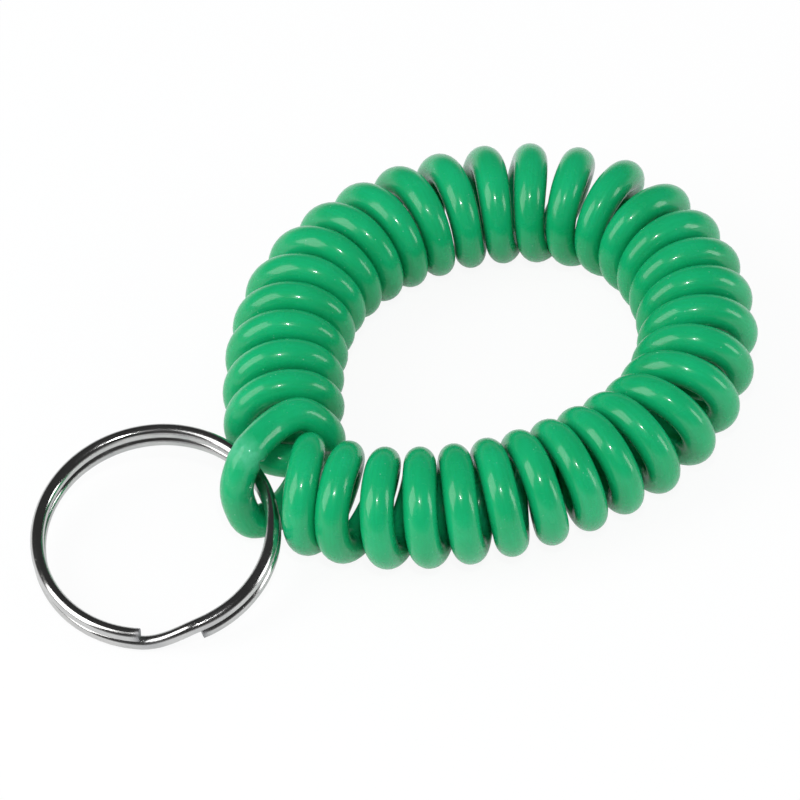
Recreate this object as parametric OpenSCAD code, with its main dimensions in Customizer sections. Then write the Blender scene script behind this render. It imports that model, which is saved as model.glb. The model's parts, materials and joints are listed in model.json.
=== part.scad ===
// Wrist coil with a split ring. One round cord is wound into a long coil, which is bent round into a
// bracelet. The cord's two ends are welded together outside the bracelet's corner, where they make
// an open end loop, and a split ring of spring wire hangs in that loop.
// Millimetres, +Z up. The origin is the middle of the bracelet, on the surface that it lies on.

/* [Cord and coil] */
// Diameter of the round cord
cord_d = 3.9; // [3:0.1:5]
// Outside diameter of the coil that the cord is wound into
coil_d = 14; // [12:0.5:18]

/* [Bracelet] */
// Width of the bracelet, between the middles of its left and right coils
bracelet_w = 48; // [40:1:70]
// Depth of the bracelet, between the middles of its front and back coils
bracelet_l = 48; // [40:1:70]
// How far the end loop stands out from the inside of the bracelet's corner
loop_out = 11.4; // [10:0.2:14]
// How much the weld stands proud of the cord
weld_bead = 0.15; // [0:0.05:0.4]

/* [Split ring] */
// Outside diameter of the split ring
ring_d = 28.6; // [23:0.2:36]
// Diameter of the ring's wire
wire_d = 1.6; // [1:0.1:1.9]
// Gap between the ring's two coils of wire
ring_gap = 0.1; // [0.05:0.05:0.3]
// Length of the step where the wire crosses from the upper coil to the lower one
ring_step = 7; // [5:0.5:12]
// Tilt of the ring, which leans on the surface and on the end loop
ring_tilt = 12; // [8:1:14]

/* [Smoothness] */
// Rings of facets in each turn of the coil
turn_rings = 12; // [12:4:24]
// Sides of the cord
cord_sides = 8; // [6:2:16]
// Sides of the ring's wire
wire_sides = 10; // [6:2:16]

/* [Hidden] */

cord_r = cord_d / 2;
coil_mid_z = coil_d / 2;
// Radius of the helix that the middle of the cord follows
helix_r = (coil_d - cord_d) / 2;
FULL_TURN = 360;

// The middle line of the coil, seen from above, clockwise from the end loop and back to it, in a
// bracelet that is 48 wide and deep: x, y, how far the outside of a turn leans forward there, and how
// widely the turns are spaced.
ROUTE_SIZE = 48;
ROUTE = [
  [-24, -13, 0, 1.25],
  [-24, -1, 0, 1.05],
  [-21, 10, 0, 1],
  [-14, 18, 0, 1],
  [-4, 23, 0.5, 1.05],
  [7, 24, 1, 1.05],
  [16, 20.5, 1, 1.05],
  [22, 12, 0.5, 0.95],
  [23.5, 1, 0, 1],
  [19.5, -9.5, 0, 1.05],
  [11, -17, 0.5, 1],
  [0, -22, 1, 1],
  [-12, -23.5, 1, 1],
  [-22.5, -21, 0, 1.05]
];
LAST = len(ROUTE) - 1;
route_scale = [bracelet_w / ROUTE_SIZE, bracelet_l / ROUTE_SIZE];

function unit(v) = v / norm(v);
function smooth(t) = t * t * (3 - 2 * t);

// Catmull-Rom curve through the rows of a list, at row number u
function along(rows, u) =
  let (
    i = max(0, min(floor(u), len(rows) - 2)),
    t = u - i,
    b = rows[i],
    c = rows[i + 1],
    a = i > 0 ? rows[i - 1] : 2 * b - c,
    d = i + 2 < len(rows) ? rows[i + 2] : 2 * c - b
  )
  (2 * b + (c - a) * t + (2 * a - 5 * b + 4 * c - d) * t ^ 2 + (3 * b - a - 3 * c + d) * t ^ 3) / 2;

// A point of the middle line on the ground, and the way that the line heads there
STEP = 0.002;
function ground(u) =
  let (row = along(ROUTE, u))
  [row.x * route_scale.x, row.y * route_scale.y];
function heading(u) = unit(ground(u + STEP) - ground(u - STEP));

// Lengths of the line that runs so far inside the middle line, up to each sample of the route. Spaced
// lengths count for less where the turns are spaced more widely.
SAMPLES = 12;
function inside_point(u, inset) =
  let (h = heading(u))
  ground(u) + inset * [h.y, -h.x];
function inside_lengths(inset, spaced = false) = [
  for (
    k = 0, run = 0;
    k <= LAST * SAMPLES;
    k = k + 1,
    run = run + norm(inside_point(k / SAMPLES, inset) - inside_point((k - 1) / SAMPLES, inset))
      / (spaced ? along(ROUTE, k / SAMPLES)[3] : 1)
  )
  run
];

// The coil has as many whole turns as press together round the inside of the bracelet. Each takes up
// a little less there than the cord's width, because the cord is pressed flatter.
PRESSED = 0.88;
TURN_SHARE = 0.95;
turns = floor(inside_lengths(helix_r)[LAST * SAMPLES] / (cord_d * TURN_SHARE));

// The turns are spaced along a line halfway between the coil's middle and its inside. Each row is the
// turns wound so far, and the place on the route.
spaced_lengths = inside_lengths(helix_r / 2, true);
turn_places = [
  for (k = [0:LAST * SAMPLES])
    [turns * spaced_lengths[k] / spaced_lengths[LAST * SAMPLES], k / SAMPLES]
];

// The coil starts and ends on the inside of the bracelet. Angles go from the outside over the top.
START_ANGLE = 180;
function turn_angle(t) = START_ANGLE + FULL_TURN * t;
// From the coil's middle line to the middle of the cord
function spoke(t) =
  let (h = heading(lookup(t, turn_places)), a = turn_angle(t))
  [-h.y * cos(a), h.x * cos(a), sin(a)];
// The middle of the cord after t turns
function cord_at(t) =
  let (
    u = lookup(t, turn_places),
    g = ground(u),
    lean = along(ROUTE, u).z * cos(turn_angle(t)) * heading(u)
  )
  [g.x + lean.x, g.y + lean.y, coil_mid_z] + helix_r * spoke(t);
function cord_run(t) = unit(cord_at(min(t + STEP, turns)) - cord_at(max(t - STEP, 0)));

// One ring of points round a tube: its middle, the way it runs, and the side where the ring starts
function tube_ring(middle, run, side, r_side, r_across, sides) =
  let (e1 = unit(side - (side * run) * run), e2 = cross(run, e1))
  [for (k = [0:sides - 1])
    let (a = FULL_TURN * k / sides)
    middle + r_side * cos(a) * e1 + r_across * sin(a) * e2];

// The cord is round, and pressed flatter on the inside of the bracelet
function cord_ring(t) =
  let (across = 1 - (1 - PRESSED) * max(0, -cos(turn_angle(t))) ^ 2)
  tube_ring(cord_at(t), cord_run(t), spoke(t), cord_r, cord_r * across, cord_sides);

// Closed solid through rings of points, with flat ends
module tube(rings) {
  sides = len(rings[0]);
  last = len(rings) - 1;
  polyhedron(
    points = [for (ring = rings) each ring],
    faces = concat(
      [[for (k = [0:sides - 1]) k]],
      [[for (k = [sides - 1:-1:0]) last * sides + k]],
      [for (i = [0:last - 1], k = [0:sides - 1])
        [i * sides + k, (i + 1) * sides + k, i * sides + (k + 1) % sides]],
      [for (i = [0:last - 1], k = [0:sides - 1])
        [(i + 1) * sides + k, (i + 1) * sides + (k + 1) % sides, i * sides + (k + 1) % sides]]
    )
  );
}

// Shares of the turns at which the left coils, the back coils and the right coils end
LEFT_END = 0.25;
BACK_END = 0.47;
RIGHT_END = 0.69;

// The coil between two shares of its turns, cut where a turn starts
module coils(from, to) {
  color("mediumseagreen")
    tube([
      for (k = [round(from * turns) * turn_rings:round(to * turns) * turn_rings])
      cord_ring(k / turn_rings)
    ]);
}

module left_coils() {
  coils(0, LEFT_END);
}

module back_coils() {
  coils(LEFT_END, BACK_END);
}

module right_coils() {
  coils(BACK_END, RIGHT_END);
}

module front_coils() {
  coils(RIGHT_END, 1);
}

// The end loop runs on from the inside of the last turn, down, out round the ring's eye and back
// over the top to the inside of the first turn. Each row is the share of loop_out, how far towards
// the front in widths of a strand and its gap, and the height as a share of the helix.
LOOP = [
  [0.3, 0.2, 0.18],
  [0.6, 0.3, 0],
  [0.9, 0.25, 0.06],
  [1, 0.1, 0.36],
  [0.99, 0, 0.68],
  [0.8, -0.15, 0.97],
  [0.42, -0.42, 1],
  [0.12, -0.4, 1],
  [-0.07, -0.2, 0.8]
];
// Where the two ends of the cord are welded, in rows of the loop, and how far the bead reaches
WELD_AT = 5.9;
WELD_REACH = 0.35;
LOOP_RINGS = 5;
// Gap between strands of the loop that lie side by side
STRAND_GAP = 1.15;
// Gap between the outside of the loop and the ring's wire, which passes through the eye
EYE_CLEARANCE = 0.442;

loop_start = cord_at(turns);
loop_end = cord_at(0);
loop_corner = [loop_start.x + loop_end.x, loop_start.y + loop_end.y] / 2;
loop_way = unit([loop_corner.x / route_scale.x, loop_corner.y / route_scale.y]);
strand_pitch = cord_d + STRAND_GAP;
function loop_point(out, side, rise) =
  [
    loop_corner.x + loop_way.x * out * loop_out - loop_way.y * side * strand_pitch,
    loop_corner.y + loop_way.y * out * loop_out + loop_way.x * side * strand_pitch,
    cord_r + 2 * helix_r * rise
  ];
loop_path = concat(
  [loop_start],
  [for (row = LOOP) loop_point(row[0], row[1], row[2])],
  [loop_end]
);
LOOP_LAST = len(loop_path) - 1;
// The middle of the eye, where the split ring passes
eye_out = loop_out - cord_r - EYE_CLEARANCE - wire_d / 2;
loop_eye = loop_point(eye_out / loop_out, 0, 0.5);

// A guide point beyond each end makes the loop leave the coil in the cord's own direction
function guide(first, second, run) = second - 2 * norm(second - first) * run;
loop_rows = concat(
  [guide(loop_path[0], loop_path[1], cord_run(turns))],
  loop_path,
  [guide(loop_path[LOOP_LAST], loop_path[LOOP_LAST - 1], -cord_run(0))]
);
function loop_at(u) = along(loop_rows, u + 1);
function loop_r(u) = cord_r + weld_bead * smooth(max(0, 1 - abs(u - WELD_AT) / WELD_REACH));
function loop_ring(u) =
  tube_ring(
    loop_at(u), unit(loop_at(u + STEP) - loop_at(u - STEP)), loop_at(u) - loop_eye,
    loop_r(u), loop_r(u), cord_sides
  );

module end_loop() {
  color("mediumseagreen")
    tube(concat(
      [cord_ring(turns)],
      [for (k = [1:LOOP_LAST * LOOP_RINGS - 1]) loop_ring(k / LOOP_RINGS)],
      [cord_ring(0)]
    ));
}

wire_r = wire_d / 2;
// Radius of the circle that the middle of the wire follows
wire_circle_r = ring_d / 2 - wire_r;
coil_offset = (wire_d + ring_gap) / 2;
step_angle = ring_step / wire_circle_r * 180 / PI;
// Where the upper coil of wire is cut off, seen from above
WIRE_START = 263;
wire_end = 2 * FULL_TURN - step_angle;
// Length of wire that springs up at the free end
FREE_ANGLE = 75;
WIRE_RING_ANGLE = 7.5;
// Where the wire passes through the end loop, and which side of the ring is highest
EYE_ANGLE = 28;
TILT_SIDE = 60;

// The ring rests on the surface at its low side, and passes through the middle of the eye
ring_mid_z = wire_circle_r * sin(ring_tilt) + coil_offset * cos(ring_tilt) + wire_r;
tilt_axis = [sin(TILT_SIDE), -cos(TILT_SIDE), 0];
// A point of the flat ring once the ring is tilted
function tilted(p) =
  p * cos(ring_tilt) + cross(tilt_axis, p) * sin(ring_tilt)
  + tilt_axis * (tilt_axis * p) * (1 - cos(ring_tilt));
eye_spoke = tilted(wire_circle_r * [cos(EYE_ANGLE), sin(EYE_ANGLE), 0]);
ring_middle = [loop_eye.x - eye_spoke.x, loop_eye.y - eye_spoke.y, ring_mid_z];

// Height of the wire's middle in the flat ring, after winding through an angle
function wire_z(w) =
  coil_offset * (1 - 2 * smooth(max(0, min(1, (w - FULL_TURN + step_angle) / step_angle))));
function wire_at(w) =
  let (a = WIRE_START - w)
  [wire_circle_r * cos(a), wire_circle_r * sin(a), wire_z(w)];
function wire_ring(w) =
  tube_ring(wire_at(w), unit(wire_at(w + STEP) - wire_at(w - STEP)), [0, 0, 1], wire_r, wire_r, wire_sides);

module wire(from, to) {
  rings = ceil((to - from) / WIRE_RING_ANGLE);
  color("silver")
    translate(ring_middle)
      rotate(ring_tilt, tilt_axis)
        tube([for (k = [0:rings]) wire_ring(from + (to - from) * k / rings)]);
}

module split_ring() {
  wire(FREE_ANGLE, wire_end);
}

module split_ring_free_end() {
  wire(0, FREE_ANGLE);
}

left_coils();
back_coils();
right_coils();
front_coils();
end_loop();
split_ring();
split_ring_free_end();
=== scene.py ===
import json
import math

import bpy
import numpy as np
from mathutils import Matrix, Vector


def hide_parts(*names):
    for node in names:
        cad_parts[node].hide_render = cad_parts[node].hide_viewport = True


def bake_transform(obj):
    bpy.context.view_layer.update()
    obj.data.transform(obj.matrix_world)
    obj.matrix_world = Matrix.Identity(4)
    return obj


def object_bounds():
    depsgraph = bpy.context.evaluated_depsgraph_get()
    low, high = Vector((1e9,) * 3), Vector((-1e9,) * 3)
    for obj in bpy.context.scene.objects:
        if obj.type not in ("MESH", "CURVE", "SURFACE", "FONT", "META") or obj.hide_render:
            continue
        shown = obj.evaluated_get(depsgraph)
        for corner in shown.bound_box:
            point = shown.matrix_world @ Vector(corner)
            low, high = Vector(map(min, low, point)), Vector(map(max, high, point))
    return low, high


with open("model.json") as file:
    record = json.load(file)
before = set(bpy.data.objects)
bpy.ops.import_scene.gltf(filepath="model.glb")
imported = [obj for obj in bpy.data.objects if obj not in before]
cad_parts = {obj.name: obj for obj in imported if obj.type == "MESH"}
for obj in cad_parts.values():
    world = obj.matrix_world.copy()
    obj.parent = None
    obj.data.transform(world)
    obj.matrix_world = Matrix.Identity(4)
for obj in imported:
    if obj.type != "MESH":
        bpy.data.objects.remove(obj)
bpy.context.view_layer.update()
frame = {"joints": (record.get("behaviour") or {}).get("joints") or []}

bpy.ops.object.select_all(action="DESELECT")


# ---------------------------------------------------------------------------------------------
# The bracelet. One round cord of soft, glossy green plastic is wound into a coil and heat set. The
# coil is bent round for the wrist, so its turns press together on the inside and fan out on the
# outside. Its two ends run out of one corner as a loop and are melted together there.
# ---------------------------------------------------------------------------------------------
CORD_R = 0.00195
HELIX_R = 0.00505
COIL_MID_Z = CORD_R + HELIX_R
TURNS = 32
TURN_RINGS = 48
CORD_SIDES = 28
# On the inside the turns press on each other, and this share of the cord's thickness is left there
PRESSED = 0.88
# The middle line of the coil seen from above, clockwise from the loop and back to it: x, y, how far
# the outside of a turn leans forward there, and how widely the turns are spaced
ROUTE = [Vector(row) for row in [
    (-0.024, -0.013, 0, 1.25),
    (-0.024, -0.001, 0, 1.05),
    (-0.021, 0.010, 0, 1),
    (-0.014, 0.018, 0, 1),
    (-0.004, 0.023, 0.0005, 1.05),
    (0.007, 0.024, 0.001, 1.05),
    (0.016, 0.0205, 0.001, 1.05),
    (0.022, 0.012, 0.0005, 0.95),
    (0.0235, 0.001, 0, 1),
    (0.0195, -0.0095, 0, 1.05),
    (0.011, -0.017, 0.0005, 1),
    (0, -0.022, 0.001, 1),
    (-0.012, -0.0235, 0.001, 1),
    (-0.0225, -0.021, 0, 1.05),
]]
SAMPLES = 12
STEP = 0.002


def smooth(t):
    """From 0 to 1 with no kink at either end."""
    t = max(0.0, min(1.0, t))
    return t * t * (3 - 2 * t)


def along(rows, u):
    """A smooth curve through the rows of a list, at row number u."""
    i = max(0, min(math.floor(u), len(rows) - 2))
    t = u - i
    b, c = rows[i], rows[i + 1]
    a = rows[i - 1] if i > 0 else 2 * b - c
    d = rows[i + 2] if i + 2 < len(rows) else 2 * c - b
    bend = (2 * a - 5 * b + 4 * c - d) * t ** 2 + (3 * b - a - 3 * c + d) * t ** 3
    return (2 * b + (c - a) * t + bend) / 2


def ground(u):
    """The coil's middle line laid on the floor, at row u of the route."""
    row = along(ROUTE, u)
    return Vector((row.x, row.y, 0))


def outward(u):
    """The way from the middle of the bracelet to its outside, at row u of the route."""
    heading = (ground(u + STEP) - ground(u - STEP)).normalized()
    return Vector((-heading.y, heading.x, 0))


# The turns are spaced along a line halfway between the coil's middle and its inside
spaced_line = [ground(k / SAMPLES) - outward(k / SAMPLES) * HELIX_R / 2
               for k in range((len(ROUTE) - 1) * SAMPLES + 1)]
spaced_length = [0.0]
for k in range(1, len(spaced_line)):
    spacing = along(ROUTE, k / SAMPLES)[3]
    spaced_length.append(spaced_length[-1] + (spaced_line[k] - spaced_line[k - 1]).length / spacing)
turns_so_far = [TURNS * length / spaced_length[-1] for length in spaced_length]


def place(t):
    """Row of the route after t turns."""
    return float(np.interp(t, turns_so_far, np.arange(len(spaced_line)) / SAMPLES))


def spoke(t):
    """From the coil's middle line to the cord after t turns. The coil starts on the inside."""
    angle = math.pi + 2 * math.pi * t
    return outward(place(t)) * math.cos(angle) + Vector((0, 0, math.sin(angle)))


def cord_at(t):
    """The middle of the cord after t turns."""
    u = place(t)
    out = outward(u)
    lean = -along(ROUTE, u).z * math.cos(2 * math.pi * t)
    return ground(u) + Vector((out.y, -out.x, 0)) * lean + Vector((0, 0, COIL_MID_Z)) + HELIX_R * spoke(t)


# The loop leaves the inside of the last turn, runs out along the surface and comes back over the
# top to the first turn: share of its reach, widths of a strand towards the front, share of height
LOOP_OUT = 0.0114
STRAND_GAP = 0.00115
STRAND_PITCH = 2 * CORD_R + STRAND_GAP
LOOP = [
    (0.3, 0.2, 0.18),
    (0.6, 0.3, 0),
    (0.9, 0.25, 0.06),
    (1, 0.1, 0.36),
    (0.99, 0, 0.68),
    (0.8, -0.15, 0.97),
    (0.42, -0.42, 1),
    (0.12, -0.4, 1),
    (-0.07, -0.2, 0.8),
]
# The weld, in rows of the loop, and the middle of the loop's eye, as a share of its reach
WELD_AT = 5.9
EYE_OUT = 0.72
EYE_RISE = 0.5
corner = (cord_at(TURNS) + cord_at(0)) / 2
corner.z = 0
loop_way = corner.normalized()
loop_front = Vector((-loop_way.y, loop_way.x, 0))


def loop_point(out, side, rise):
    """A point of the end loop, from the three shares that a row of it gives."""
    height = CORD_R + 2 * HELIX_R * rise
    return corner + loop_way * out * LOOP_OUT + loop_front * side * STRAND_PITCH + Vector((0, 0, height))


def cord_run(t):
    """The way the cord runs after t turns."""
    return (cord_at(min(t + STEP, TURNS)) - cord_at(max(t - STEP, 0))).normalized()


loop_path = [cord_at(TURNS)] + [loop_point(*row) for row in LOOP] + [cord_at(0)]
loop_last = len(loop_path) - 1
# A guide point beyond each end makes the loop leave the coil in the cord's own direction
before = loop_path[1] - 2 * (loop_path[1] - loop_path[0]).length * cord_run(TURNS)
after = loop_path[-2] + 2 * (loop_path[-2] - loop_path[-1]).length * cord_run(0)
loop_rows = [before] + loop_path + [after]


def loop_at(u):
    """The middle of the cord on the end loop, at row u of the loop."""
    return along(loop_rows, u + 1)


# Stations along the whole cord, from the weld round the coil and back to it: the middle, the side
# that faces out of the coil or out of the loop, and the distance from the weld on the loop
LOOP_RINGS = 16
WELD_RINGS = 50
WELD_RINGS_EACH_WAY = 30
DECIMALS = 4
loop_eye = loop_point(EYE_OUT, 0, EYE_RISE)
even_steps = {round(k / LOOP_RINGS, DECIMALS) for k in range(1, loop_last * LOOP_RINGS)}
weld_steps = {round(WELD_AT + k / WELD_RINGS, DECIMALS)
              for k in range(-WELD_RINGS_EACH_WAY, WELD_RINGS_EACH_WAY + 1)}
loop_steps = sorted(even_steps | weld_steps)
stations = [(loop_at(u), None) for u in loop_steps if u >= WELD_AT]
stations += [(cord_at(k / TURN_RINGS), k / TURN_RINGS) for k in range(TURNS * TURN_RINGS + 1)]
stations += [(loop_at(u), None) for u in loop_steps if u < WELD_AT]
middles = [station[0] for station in stations]
count = len(stations)
runs = [(middles[(k + 1) % count] - middles[k - 1]).normalized() for k in range(count)]
lengths = [0.0]
for k in range(1, count):
    lengths.append(lengths[-1] + (middles[k] - middles[k - 1]).length)
cord_length = lengths[-1] + (middles[0] - middles[-1]).length

# Which way each ring of the mesh starts: out of the coil on the turns, and turned on smoothly from
# there round the loop, so that the moulding lines of the cord run through without a jump
sides = [None] * count
for k in range(count):
    if stations[k][1] is not None:
        side = spoke(stations[k][1])
        sides[k] = (side - side.dot(runs[k]) * runs[k]).normalized()
coil_first = next(k for k in range(count) if sides[k] is not None)
coil_last = coil_first + TURNS * TURN_RINGS
loop_order = [k % count for k in range(coil_last, count + coil_first + 1)]
for last_k, k in zip(loop_order, loop_order[1:-1]):
    side = sides[last_k] - sides[last_k].dot(runs[k]) * runs[k]
    sides[k] = side.normalized()
carried = sides[loop_order[-2]]
goal = sides[loop_order[-1]]
twist = math.atan2(carried.cross(goal).dot(runs[loop_order[-1]]), carried.dot(goal))
for step, k in enumerate(loop_order[1:-1], start=1):
    turn = Matrix.Rotation(twist * step / (len(loop_order) - 1), 3, runs[k])
    sides[k] = turn @ sides[k]

# The weld stands a little proud, and its seam is a groove that is deepest towards the eye. The
# attributes say where each point lies: round the cord, along it in millimetres, and near the weld.
MM_IN_METRE = 1000
WELD_BEAD = 0.00009
BEAD_HALF = 0.0011
SEAM_DEPTH = 0.00007
NOTCH_DEPTH = 0.0009
SEAM_HALF = 0.0004
FROST_HALF = 0.0018
cord_points = []
cord_places = []
weld_near = []
for k in range(count):
    from_weld = min(lengths[k], cord_length - lengths[k])
    side = sides[k]
    along_coil = side.cross(runs[k])
    t = stations[k][1]
    inside = 0 if t is None else max(0, math.cos(2 * math.pi * t))
    press = 1 - (1 - PRESSED) * inside ** 2
    to_eye = (loop_eye - middles[k]).normalized()
    bead = WELD_BEAD * math.exp(-(from_weld / BEAD_HALF) ** 2)
    seam = math.exp(-(from_weld / SEAM_HALF) ** 2)
    for j in range(CORD_SIDES):
        a = 2 * math.pi * j / CORD_SIDES
        way = math.cos(a) * side + math.sin(a) * press * along_coil
        notch = SEAM_DEPTH + NOTCH_DEPTH * max(0, way.dot(to_eye))
        cord_points.append(middles[k] + way * (CORD_R + bead - notch * seam))
        cord_places += [math.cos(a), math.sin(a), lengths[k] * MM_IN_METRE]
        weld_near.append(smooth(1 - from_weld / FROST_HALF))
cord_faces = []
for k in range(count):
    for j in range(CORD_SIDES):
        here, there = k * CORD_SIDES, (k + 1) % count * CORD_SIDES
        beside = (j + 1) % CORD_SIDES
        cord_faces.append((here + j, there + j, there + beside, here + beside))
cord_mesh = bpy.data.meshes.new("wrist_coil")
cord_mesh.from_pydata([tuple(p) for p in cord_points], [], cord_faces)
cord_mesh.shade_smooth()
cord_mesh.attributes.new("cord_place", "FLOAT_VECTOR", "POINT").data.foreach_set("vector", cord_places)
cord_mesh.attributes.new("weld_near", "FLOAT", "POINT").data.foreach_set("value", weld_near)
wrist_coil = bpy.data.objects.new("wrist_coil", cord_mesh)
bpy.context.scene.collection.objects.link(wrist_coil)


def add_node(tree, kind, **settings):
    """A node with its sockets set or linked: a socket's value is a number, a colour or an output."""
    node = tree.nodes.new(kind)
    for name, value in settings.items():
        if hasattr(node, name):
            setattr(node, name, value)
            continue
        socket = node.inputs[int(name[1:])] if name[0] == "i" and name[1:].isdigit() else node.inputs[name]
        if isinstance(value, bpy.types.NodeSocket):
            tree.links.new(value, socket)
        else:
            socket.default_value = value
    return node


def new_group(name, inputs, outputs):
    """An empty shader group with named number inputs, and its input and output nodes."""
    group = bpy.data.node_groups.new(name, "ShaderNodeTree")
    for label, kind, value in inputs:
        socket = group.interface.new_socket(label, in_out="INPUT", socket_type=kind)
        if value is not None:
            socket.default_value = value
    for label in outputs:
        group.interface.new_socket(label, in_out="OUTPUT", socket_type="NodeSocketFloat")
    return group, group.nodes.new("NodeGroupInput"), group.nodes.new("NodeGroupOutput")


# Fine lines that run along a cord or a wire, as it leaves the die: bright and dark around it, and
# nearly the same from one end to the other
die_lines, given, made = new_group("die_lines", [
    ("Place", "NodeSocketVector", None),
    ("Lines", "NodeSocketFloat", 8.0),
    ("Change", "NodeSocketFloat", 0.02),
], ["Value"])
parts = add_node(die_lines, "ShaderNodeSeparateXYZ", Vector=given.outputs["Place"])
across = add_node(die_lines, "ShaderNodeVectorMath", operation="SCALE", i0=given.outputs["Place"],
                  Scale=given.outputs["Lines"])
slow = add_node(die_lines, "ShaderNodeMath", operation="MULTIPLY", i0=parts.outputs["Z"],
                i1=given.outputs["Change"])
flat = add_node(die_lines, "ShaderNodeSeparateXYZ", Vector=across.outputs["Vector"])
line_point = add_node(die_lines, "ShaderNodeCombineXYZ", X=flat.outputs["X"], Y=flat.outputs["Y"],
                      Z=slow.outputs["Value"])
lines = add_node(die_lines, "ShaderNodeTexNoise", Vector=line_point.outputs["Vector"], Scale=1.0,
                 Detail=3.0, Roughness=0.6)
die_lines.links.new(lines.outputs["Fac"], made.inputs["Value"])

# Dust and small scuffs of handling: a mask of scattered specks, with short scratches between them
PATCHES_PER_METRE = 420.0
SCRATCHES_PER_METRE = (900.0, 5200.0, 5200.0)
SCRATCH_WAY = (0.6, 0.3, 0.9)
SCRATCH_FROM = 0.66
SCRATCH_FULL = 0.8
handling, given, made = new_group("handling_marks", [
    ("Speck Size", "NodeSocketFloat", 0.0001),
    ("Amount", "NodeSocketFloat", 0.5),
], ["Specks", "Scuffs"])
coords = handling.nodes.new("ShaderNodeTexCoord")
speck_scale = add_node(handling, "ShaderNodeMath", operation="DIVIDE", i0=1.0,
                       i1=given.outputs["Speck Size"])
specks = add_node(handling, "ShaderNodeTexVoronoi", Vector=coords.outputs["Object"],
                  Scale=speck_scale.outputs["Value"], feature="F1")
patches = add_node(handling, "ShaderNodeTexNoise", Vector=coords.outputs["Object"], Detail=2.0,
                   Scale=PATCHES_PER_METRE)
limit = add_node(handling, "ShaderNodeMath", operation="MULTIPLY", i0=patches.outputs["Fac"],
                 i1=given.outputs["Amount"])
speck_mask = add_node(handling, "ShaderNodeMapRange", Value=specks.outputs["Distance"], i1=0.0,
                      i2=limit.outputs["Value"], i3=1.0, i4=0.0)
stretched = add_node(handling, "ShaderNodeMapping", Vector=coords.outputs["Object"],
                     Rotation=SCRATCH_WAY, Scale=SCRATCHES_PER_METRE)
scratches = add_node(handling, "ShaderNodeTexNoise", Vector=stretched.outputs["Vector"], Scale=1.0,
                     Detail=2.0)
scuff_mask = add_node(handling, "ShaderNodeMapRange", Value=scratches.outputs["Fac"],
                      i1=SCRATCH_FROM, i2=SCRATCH_FULL, i3=0.0, i4=1.0)
scuff_amount = add_node(handling, "ShaderNodeMath", operation="MULTIPLY",
                        i0=scuff_mask.outputs["Result"], i1=given.outputs["Amount"])
handling.links.new(speck_mask.outputs["Result"], made.inputs["Specks"])
handling.links.new(scuff_amount.outputs["Value"], made.inputs["Scuffs"])


def new_material(name):
    """A material with only its shader, and the node tree that shapes it."""
    material = bpy.data.materials.new(name)
    material.use_nodes = True
    return material, material.node_tree, material.node_tree.nodes["Principled BSDF"]


def add_group(tree, group, **settings):
    """A shader group placed in a material, with its sockets set or linked."""
    node = tree.nodes.new("ShaderNodeGroup")
    node.node_tree = group
    for name, value in settings.items():
        socket = node.inputs[name.replace("_", " ")]
        if isinstance(value, bpy.types.NodeSocket):
            tree.links.new(value, socket)
        else:
            socket.default_value = value
    return node


# Soft PVC, coloured right through. The green drifts a little along the cord, faint die lines run
# along it, and the weld is frosted where the melt was pressed.
GREEN = (0.006, 0.415, 0.160, 1)
GREEN_DEEP = (0.004, 0.345, 0.120, 1)
GREEN_FROST = (0.10, 0.53, 0.30, 1)
DUST = (0.22, 0.55, 0.40, 1)
DRIFTS_PER_METRE = 150.0
PEEL_PER_METRE = 700.0
MELT_PER_METRE = 1500.0
LINES_IN_DRIFT = 0.35
GLOSSY = 0.2
LESS_GLOSSY = 0.3
SCUFF_MATT = 0.9
FROST_MATT = 0.6
LINE_HEIGHT = 0.000012
PEEL_HEIGHT = 0.000010
MELT_HEIGHT = 0.00012
coil_cord, tree, shader = new_material("coil_cord")
shader.inputs["IOR"].default_value = 1.49
shader.inputs["Specular IOR Level"].default_value = 0.25
shader.inputs["Coat Weight"].default_value = 0.35
shader.inputs["Coat Roughness"].default_value = 0.06
shader.inputs["Subsurface Weight"].default_value = 0.2
shader.inputs["Subsurface Radius"].default_value = (0.3, 1.0, 0.5)
shader.inputs["Subsurface Scale"].default_value = 0.001
object_place = tree.nodes.new("ShaderNodeTexCoord").outputs["Object"]
cord_place = add_node(tree, "ShaderNodeAttribute", attribute_name="cord_place").outputs["Vector"]
weld = add_node(tree, "ShaderNodeAttribute", attribute_name="weld_near").outputs["Fac"]
cord_lines = add_group(tree, die_lines, Place=cord_place, Lines=7.0, Change=0.03).outputs["Value"]
cord_marks = add_group(tree, handling, Speck_Size=0.0011, Amount=0.16)
drift = add_node(tree, "ShaderNodeTexNoise", Vector=object_place, Scale=DRIFTS_PER_METRE, Detail=3.0)
tone = add_node(tree, "ShaderNodeMix", data_type="FLOAT", Factor=LINES_IN_DRIFT,
                i2=drift.outputs["Fac"], i3=cord_lines)
tone_range = add_node(tree, "ShaderNodeMapRange", Value=tone.outputs[0], i1=0.35, i2=0.65)
green = add_node(tree, "ShaderNodeMix", data_type="RGBA", i0=tone_range.outputs["Result"],
                 i6=GREEN_DEEP, i7=GREEN)
melt = add_node(tree, "ShaderNodeTexNoise", Vector=object_place, Scale=MELT_PER_METRE, Detail=4.0)
frost = add_node(tree, "ShaderNodeMath", operation="MULTIPLY", i0=weld, i1=melt.outputs["Fac"])
frosted = add_node(tree, "ShaderNodeMix", data_type="RGBA", i0=frost.outputs["Value"],
                   i6=green.outputs[2], i7=GREEN_FROST)
dusty = add_node(tree, "ShaderNodeMix", data_type="RGBA", i0=cord_marks.outputs["Specks"],
                 i6=frosted.outputs[2], i7=DUST)
tree.links.new(dusty.outputs[2], shader.inputs["Base Color"])
peel = add_node(tree, "ShaderNodeTexNoise", Vector=object_place, Scale=PEEL_PER_METRE, Detail=2.0)
gloss = add_node(tree, "ShaderNodeMapRange", Value=peel.outputs["Fac"], i1=0.3, i2=0.7, i3=GLOSSY,
                 i4=LESS_GLOSSY)
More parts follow.
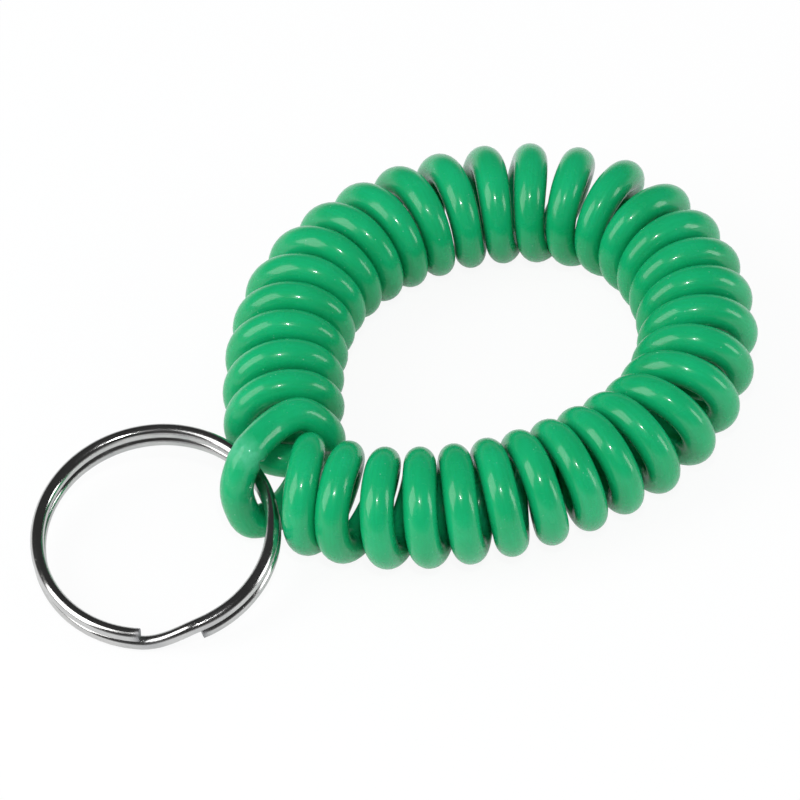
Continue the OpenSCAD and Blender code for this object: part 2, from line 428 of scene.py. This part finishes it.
scuffed = add_node(tree, "ShaderNodeMath", operation="MULTIPLY_ADD",
                   i0=cord_marks.outputs["Scuffs"], i1=SCUFF_MATT, i2=gloss.outputs["Result"])
matt = add_node(tree, "ShaderNodeMath", operation="MULTIPLY_ADD", i0=frost.outputs["Value"],
                i1=FROST_MATT, i2=scuffed.outputs["Value"])
tree.links.new(matt.outputs["Value"], shader.inputs["Roughness"])
line_bump = add_node(tree, "ShaderNodeBump", Height=cord_lines, Distance=LINE_HEIGHT)
peel_bump = add_node(tree, "ShaderNodeBump", Height=peel.outputs["Fac"], Distance=PEEL_HEIGHT,
                     Normal=line_bump.outputs["Normal"])
melt_bump = add_node(tree, "ShaderNodeBump", Height=frost.outputs["Value"], Distance=MELT_HEIGHT,
                     Normal=peel_bump.outputs["Normal"])
tree.links.new(melt_bump.outputs["Normal"], shader.inputs["Normal"])
cord_mesh.materials.append(coil_cord)

# Every ring of the mesh is gathered at its middle while the placement is baked in,
# then each point is set back in its place.
cord_mesh.vertices.foreach_set("co", np.repeat([tuple(m) for m in middles], CORD_SIDES, 0).ravel())
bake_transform(wrist_coil)
cord_mesh.vertices.foreach_set("co", np.array([tuple(p) for p in cord_points]).ravel())
cord_mesh.update()
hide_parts("left_coils", "back_coils", "right_coils", "front_coils", "end_loop")


# ---------------------------------------------------------------------------------------------
# The split ring. One length of round spring wire is drawn, wound twice with a step where it
# crosses from the upper coil to the lower one, cropped at both ends and bright nickel plated.
# ---------------------------------------------------------------------------------------------
RING_R = 0.0143
WIRE_R = 0.0008
RING_GAP = 0.0001
WIRE_CIRCLE_R = RING_R - WIRE_R
COIL_OFFSET = WIRE_R + RING_GAP / 2
WIRE_START = math.radians(263)
STEP_LENGTH = 0.007
FREE_ANGLE = math.radians(75)
WIRE_SIDES = 24
WIRE_STEPS = 300
CROP_LIP = 0.10
CROP_LENGTH = 0.0005
step_angle = STEP_LENGTH / WIRE_CIRCLE_R
wire_end = 4 * math.pi - step_angle
ring_turn = next(joint for joint in frame["joints"] if joint["name"] == "ring_turn")
ring_middle = Vector(ring_turn["pos_m"])
ring_axis = Vector(ring_turn["axis"])
lean_over = Vector((0, 0, 1)).rotation_difference(ring_axis)

bpy.ops.mesh.primitive_circle_add(vertices=WIRE_SIDES, radius=WIRE_R, fill_type="NOTHING",
                                  location=(WIRE_CIRCLE_R, 0, 0), rotation=(math.pi / 2, 0, 0))
split_ring = bpy.context.object
split_ring.name = "split_ring_wire"
bpy.ops.object.transform_apply()
winding = split_ring.modifiers.new("winding", "SCREW")
winding.angle = wire_end
winding.steps = WIRE_STEPS
winding.render_steps = WIRE_STEPS
bpy.ops.object.modifier_apply(modifier="winding")
ring_mesh = split_ring.data


def wire_middle(w):
    """The middle of the wire after winding through the angle w, in the flat ring."""
    share = (w - 2 * math.pi + step_angle) / step_angle
    height = COIL_OFFSET * (1 - 2 * smooth(share))
    a = WIRE_START - w
    return Vector((WIRE_CIRCLE_R * math.cos(a), WIRE_CIRCLE_R * math.sin(a), height))


# Each ring of the winding goes to its place on the wire, square to it, with a lip at both ends
# where the cropping blades pinched the wire
wound = []
wire_places = []
windings = []
crop_near = []
for vertex in ring_mesh.vertices:
    w = wire_end * (vertex.index // WIRE_SIDES) / WIRE_STEPS
    windings.append(w)
    turned = math.atan2(vertex.co.y, vertex.co.x)
    radial = math.hypot(vertex.co.x, vertex.co.y) - WIRE_CIRCLE_R
    middle = wire_middle(w)
    run = (wire_middle(w + STEP) - wire_middle(w - STEP)).normalized()
    out = Vector((middle.x, middle.y, 0)).normalized()
    up = out.cross(run)
    from_end = min(w, wire_end - w) * WIRE_CIRCLE_R
    lip = CROP_LIP * math.exp(-(from_end / CROP_LENGTH) ** 2)
    height = vertex.co.z
    spread = 1 + lip * (height / WIRE_R) ** 2
    wound.append(ring_middle + lean_over @ (middle + out * radial * (1 - lip / 2) + up * height * spread))
    wire_places += [radial / WIRE_R, height / WIRE_R, w * WIRE_CIRCLE_R * MM_IN_METRE]
    crop_near.append(math.exp(-(from_end / CROP_LENGTH) ** 2))
ring_mesh.vertices.foreach_set("co", np.array([tuple(p) for p in wound]).ravel())
ring_mesh.update()
ring_mesh.attributes.new("wire_place", "FLOAT_VECTOR", "POINT").data.foreach_set("vector", wire_places)
ring_mesh.attributes.new("winding", "FLOAT", "POINT").data.foreach_set("value", windings)
ring_mesh.attributes.new("crop_near", "FLOAT", "POINT").data.foreach_set("value", crop_near)

# Each cropped end is closed with a face that is sunk a little inside its rim
RIM = 0.00008
DISH = 0.00004
SMOOTH_TO = math.radians(40)
for end_ring in (range(WIRE_SIDES), range(WIRE_SIDES * WIRE_STEPS, WIRE_SIDES * (WIRE_STEPS + 1))):
    bpy.ops.object.mode_set(mode="EDIT")
    bpy.ops.mesh.select_all(action="DESELECT")
    bpy.ops.mesh.select_mode(type="VERT")
    bpy.ops.object.mode_set(mode="OBJECT")
    for index in end_ring:
        ring_mesh.vertices[index].select = True
    bpy.ops.object.mode_set(mode="EDIT")
    bpy.ops.mesh.edge_face_add()
    bpy.ops.mesh.inset(thickness=RIM, depth=0)
    bpy.ops.mesh.inset(thickness=RIM * 2, depth=-DISH)
    bpy.ops.object.mode_set(mode="OBJECT")
bpy.ops.object.mode_set(mode="EDIT")
bpy.ops.mesh.select_all(action="SELECT")
bpy.ops.mesh.normals_make_consistent(inside=False)
bpy.ops.object.mode_set(mode="OBJECT")
bpy.ops.object.shade_smooth_by_angle(angle=SMOOTH_TO)

# Bright nickel. Drawing left fine lines along the wire, keys have left it a little hazy in
# patches, and the cropped ends are bare, grey and matt.
NICKEL = (0.58, 0.575, 0.565, 1)
NICKEL_HAZE = (0.46, 0.46, 0.46, 1)
BARE_STEEL = (0.30, 0.30, 0.31, 1)
HAZE_PER_METRE = 260.0
MIRROR = 0.07
HAZY = 0.2
DRAWN_MATT = 0.08
WORN_MATT = 0.8
CROPPED_MATT = 0.3
DRAWN_HEIGHT = 0.000006
DENT_HEIGHT = 0.000012
ring_wire, tree, shader = new_material("ring_wire")
shader.inputs["Metallic"].default_value = 1.0
shader.inputs["IOR"].default_value = 2.5
object_place = tree.nodes.new("ShaderNodeTexCoord").outputs["Object"]
wire_place = add_node(tree, "ShaderNodeAttribute", attribute_name="wire_place").outputs["Vector"]
crop = add_node(tree, "ShaderNodeAttribute", attribute_name="crop_near").outputs["Fac"]
wire_lines = add_group(tree, die_lines, Place=wire_place, Lines=11.0, Change=0.05).outputs["Value"]
wire_marks = add_group(tree, handling, Speck_Size=0.0006, Amount=0.2)
haze = add_node(tree, "ShaderNodeTexNoise", Vector=object_place, Scale=HAZE_PER_METRE, Detail=4.0)
haze_range = add_node(tree, "ShaderNodeMapRange", Value=haze.outputs["Fac"], i1=0.4, i2=0.75)
plate = add_node(tree, "ShaderNodeMix", data_type="RGBA", i0=haze_range.outputs["Result"],
                 i6=NICKEL, i7=NICKEL_HAZE)
ends = add_node(tree, "ShaderNodeMix", data_type="RGBA", i0=crop, i6=plate.outputs[2],
                i7=BARE_STEEL)
tree.links.new(ends.outputs[2], shader.inputs["Base Color"])
bright = add_node(tree, "ShaderNodeMapRange", Value=haze.outputs["Fac"], i1=0.35, i2=0.75,
                  i3=MIRROR, i4=HAZY)
drawn = add_node(tree, "ShaderNodeMath", operation="MULTIPLY_ADD", i0=wire_lines, i1=DRAWN_MATT,
                 i2=bright.outputs["Result"])
worn = add_node(tree, "ShaderNodeMath", operation="MULTIPLY_ADD", i0=wire_marks.outputs["Scuffs"],
                i1=WORN_MATT, i2=drawn.outputs["Value"])
dull = add_node(tree, "ShaderNodeMath", operation="MULTIPLY_ADD", i0=crop, i1=CROPPED_MATT,
                i2=worn.outputs["Value"])
tree.links.new(dull.outputs["Value"], shader.inputs["Roughness"])
drawn_bump = add_node(tree, "ShaderNodeBump", Height=wire_lines, Distance=DRAWN_HEIGHT)
dent_bump = add_node(tree, "ShaderNodeBump", Height=wire_marks.outputs["Specks"],
                     Distance=DENT_HEIGHT, Normal=drawn_bump.outputs["Normal"])
tree.links.new(dent_bump.outputs["Normal"], shader.inputs["Normal"])
ring_mesh.materials.append(ring_wire)

# The two coils lie on each other. The wire is laid out straight, at the angle that each point is
# wound to, while the placement is baked in, and is then wound back.
ring_points = np.zeros(len(ring_mesh.vertices) * 3)
ring_mesh.vertices.foreach_get("co", ring_points)
wound_to = np.zeros(len(ring_mesh.vertices))
ring_mesh.attributes["winding"].data.foreach_get("value", wound_to)
straight = np.zeros((len(wound_to), 3))
straight[:, 0] = wound_to
ring_mesh.vertices.foreach_set("co", straight.ravel())
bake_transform(split_ring)
ring_mesh.vertices.foreach_set("co", ring_points)
ring_mesh.update()
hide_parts("split_ring", "split_ring_free_end")


# ---------------------------------------------------------------------------------------------
# The studio. A pale floor, a large soft box on the left, a strip on the right, a small lamp above
# the camera, and a long lens that looks down at the bracelet from the front.
# ---------------------------------------------------------------------------------------------
FLOOR_SIZE = 6
bpy.ops.mesh.primitive_plane_add(size=FLOOR_SIZE, location=(0, 0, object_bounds()[0].z))
floor = bpy.context.object
floor.name = "studio_floor"
paper, tree, shader = new_material("studio_paper")
shader.inputs["Base Color"].default_value = (0.9, 0.9, 0.9, 1)
shader.inputs["Roughness"].default_value = 0.9
shader.inputs["Specular IOR Level"].default_value = 0.1
PAPER_GLOW = 0.92
MIRRORED_GLOW = 0.3
seen = tree.nodes.new("ShaderNodeLightPath")
direct = add_node(tree, "ShaderNodeMath", operation="MAXIMUM", i0=seen.outputs["Is Camera Ray"],
                  i1=seen.outputs["Is Transmission Ray"])
direct_share = add_node(tree, "ShaderNodeMath", operation="MULTIPLY", i0=direct.outputs["Value"],
                        i1=PAPER_GLOW)
glow_share = add_node(tree, "ShaderNodeMath", operation="MULTIPLY_ADD",
                      i0=seen.outputs["Is Glossy Ray"], i1=MIRRORED_GLOW,
                      i2=direct_share.outputs["Value"])
white = add_node(tree, "ShaderNodeEmission", Strength=1.0)
paper_mix = add_node(tree, "ShaderNodeMixShader", i0=glow_share.outputs["Value"],
                     i1=shader.outputs["BSDF"], i2=white.outputs["Emission"])
tree.links.new(paper_mix.outputs["Shader"], tree.nodes["Material Output"].inputs["Surface"])
floor.data.materials.append(paper)

STUDIO_MIDDLE = Vector((0, 0, COIL_MID_Z))


def add_lamp(name, way, away, size, power, shape="RECTANGLE"):
    """An area lamp that shines at the middle of the bracelet."""
    data = bpy.data.lights.new(name, "AREA")
    data.shape = shape
    data.size, data.size_y = size
    data.energy = power
    lamp = bpy.data.objects.new(name, data)
    direction = Vector(way).normalized()
    lamp.location = STUDIO_MIDDLE + direction * away
    lamp.rotation_euler = direction.to_track_quat("Z", "Y").to_euler()
    bpy.context.scene.collection.objects.link(lamp)


add_lamp("left_soft_box", (-0.78, -0.28, 0.56), 0.6, (0.36, 0.5), 2.0)
add_lamp("right_strip", (0.95, -0.12, 0.30), 0.6, (0.16, 0.32), 0.8)
add_lamp("front_lamp", (0, -0.5, 0.87), 0.8, (0.08, 0.08), 1.8, "DISK")

# The air is white to look at and lights the bracelet from all round. A glossy surface sees it
# grey near the horizon and nearly black overhead.
ROOM_LIGHT = 0.55
HORIZON_MIRRORED = 0.45
OVERHEAD_MIRRORED = 0.04
OVERHEAD_FROM = 0.3
world = bpy.data.worlds.new("studio_air")
bpy.context.scene.world = world
world.use_nodes = True
tree = world.node_tree
backdrop = tree.nodes["Background"]
backdrop.inputs["Color"].default_value = (1, 1, 1, 1)
backdrop.inputs["Strength"].default_value = 1.0
room = tree.nodes.new("ShaderNodeBackground")
room.inputs["Color"].default_value = (0.92, 0.96, 1.0, 1)
seen = tree.nodes.new("ShaderNodeLightPath")
way_up = add_node(tree, "ShaderNodeSeparateXYZ",
                  Vector=tree.nodes.new("ShaderNodeTexCoord").outputs["Generated"])
low = add_node(tree, "ShaderNodeMapRange", Value=way_up.outputs["Z"], i1=0.0, i2=OVERHEAD_FROM,
               i3=HORIZON_MIRRORED, i4=OVERHEAD_MIRRORED)
mirrored = add_node(tree, "ShaderNodeMath", operation="MULTIPLY", i0=seen.outputs["Is Glossy Ray"],
                    i1=low.outputs["Result"])
through = add_node(tree, "ShaderNodeMath", operation="MAXIMUM", i0=seen.outputs["Is Camera Ray"],
                   i1=seen.outputs["Is Transmission Ray"])
shown = add_node(tree, "ShaderNodeMath", operation="MAXIMUM", i0=through.outputs["Value"],
                 i1=mirrored.outputs["Value"])
dim = add_node(tree, "ShaderNodeMath", operation="MULTIPLY_ADD", i0=seen.outputs["Is Glossy Ray"],
               i1=-ROOM_LIGHT, i2=ROOM_LIGHT)
tree.links.new(dim.outputs["Value"], room.inputs["Strength"])
air = add_node(tree, "ShaderNodeMixShader", i0=shown.outputs["Value"],
               i1=room.outputs["Background"], i2=backdrop.outputs["Background"])
tree.links.new(air.outputs["Shader"], tree.nodes["World Output"].inputs["Surface"])

CAMERA_TARGET = Vector((-0.0108, -0.00696, COIL_MID_Z))
CAMERA_ELEVATION = math.radians(48)
FRAME_WIDTH = 0.09195
LENS_MM = 400
SENSOR_MM = 36
camera_data = bpy.data.cameras.new("studio_camera")
camera_data.lens = LENS_MM
camera_data.sensor_width = SENSOR_MM
camera = bpy.data.objects.new("studio_camera", camera_data)
back = Vector((0, -math.cos(CAMERA_ELEVATION), math.sin(CAMERA_ELEVATION)))
camera.location = CAMERA_TARGET + back * FRAME_WIDTH * LENS_MM / SENSOR_MM
camera.rotation_euler = back.to_track_quat("Z", "Y").to_euler()
bpy.context.scene.collection.objects.link(camera)
bpy.context.scene.camera = camera
bpy.context.scene.view_settings.view_transform = "Standard"
